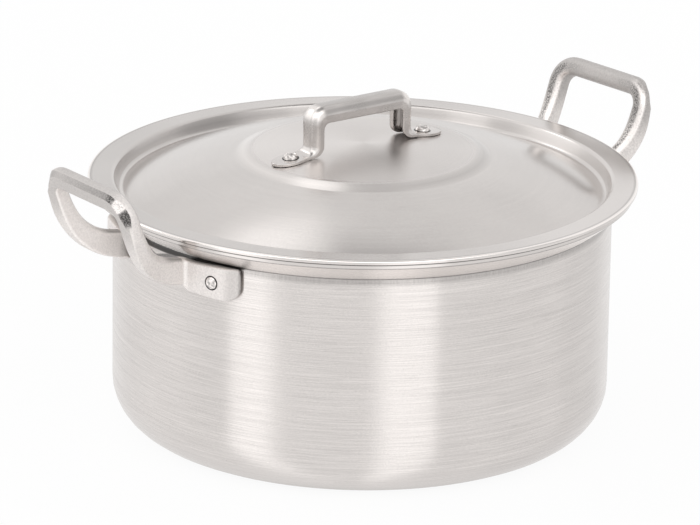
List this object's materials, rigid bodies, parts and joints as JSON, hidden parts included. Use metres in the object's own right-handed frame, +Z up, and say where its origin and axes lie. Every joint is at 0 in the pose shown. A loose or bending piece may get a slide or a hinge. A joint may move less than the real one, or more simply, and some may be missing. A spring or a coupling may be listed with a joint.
{
  "type": "casserole pot",
  "caption": "Wide aluminium casserole pot with a flared rim, riveted cast loop handles and a loose domed lid with a riveted strap handle.",
  "frame": {"origin": "centre of the flat base, on the surface the pot stands on", "axes": "+Z up along the pot's axis, +X from the left loop handle to the right one, +Y towards the back"},
  "size_m": [0.4098, 0.3304, 0.204],
  "materials": {
    "brushed_aluminium": "brushed round the pot",
    "satin_aluminium": "satin",
    "pressed_aluminium": "smooth pressed sheet",
    "cast_aluminium": "matte sand cast, ground on the edges",
    "rivet_aluminium": "peened"
  },
  "bodies": {
    "pot": {"pot_body": "brushed_aluminium", "side_handle_right": "cast_aluminium", "side_handle_left": "cast_aluminium", "handle_rivet_right_front": "rivet_aluminium", "handle_rivet_right_back": "rivet_aluminium", "handle_rivet_left_front": "rivet_aluminium", "handle_rivet_left_back": "rivet_aluminium"},
    "lid": {"lid_panel": "satin_aluminium", "lid_handle": "pressed_aluminium", "lid_rivet_right": "rivet_aluminium", "lid_rivet_left": "rivet_aluminium"}
  },
  "joints": [
    {"name": "lid_lift", "type": "slide", "parent": "pot", "child": "lid", "axis": [0, 0, 1], "range_m": [0, 0.12]}
  ]
}
